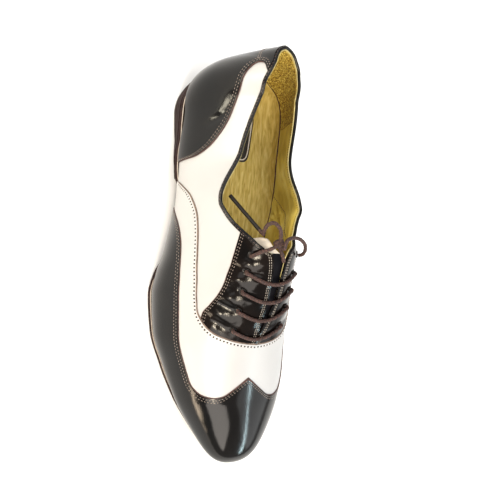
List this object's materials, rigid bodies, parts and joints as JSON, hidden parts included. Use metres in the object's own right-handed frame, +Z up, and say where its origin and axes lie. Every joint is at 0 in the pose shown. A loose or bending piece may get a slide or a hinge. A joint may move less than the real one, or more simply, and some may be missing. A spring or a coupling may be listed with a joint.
{
  "type": "dance shoe",
  "caption": "Two-tone wing-tip oxford for ballroom dancing, right foot: hollow leather upper, patent toe wing and heel counter, thin leather sole, low block heel and a tied round lace.",
  "frame": {"origin": "on the floor, under the middle of the box around the shoe without its loose lace", "axes": "+X from heel to toe, +Y to the medial side (the wearer's left), +Z up"},
  "size_m": [0.2832, 0.101, 0.1038],
  "materials": {
    "white_leather": "smooth semi-gloss",
    "black_patent": "glossy patent",
    "tan_lining": "soft matte",
    "brown_sole_leather": "waxed edge",
    "brown_lace": "braided cord"
  },
  "bodies": {
    "root": {"upper": "white_leather", "outsole": "brown_sole_leather", "heel": "brown_sole_leather", "insole": "tan_lining", "tongue": "black_patent", "wingtip": "black_patent", "heel_counter": "black_patent", "lace_bar_2": "brown_lace", "lace_bar_3": "brown_lace", "lace_bar_4": "brown_lace", "lace_bar_5": "brown_lace", "lace_run_lateral": "brown_lace", "lace_knot": "brown_lace", "lace_loop_rear": "brown_lace", "lace_loop_medial": "brown_lace", "lace_end_long": "brown_lace", "lace_end_short": "brown_lace"}
  },
  "joints": []
}
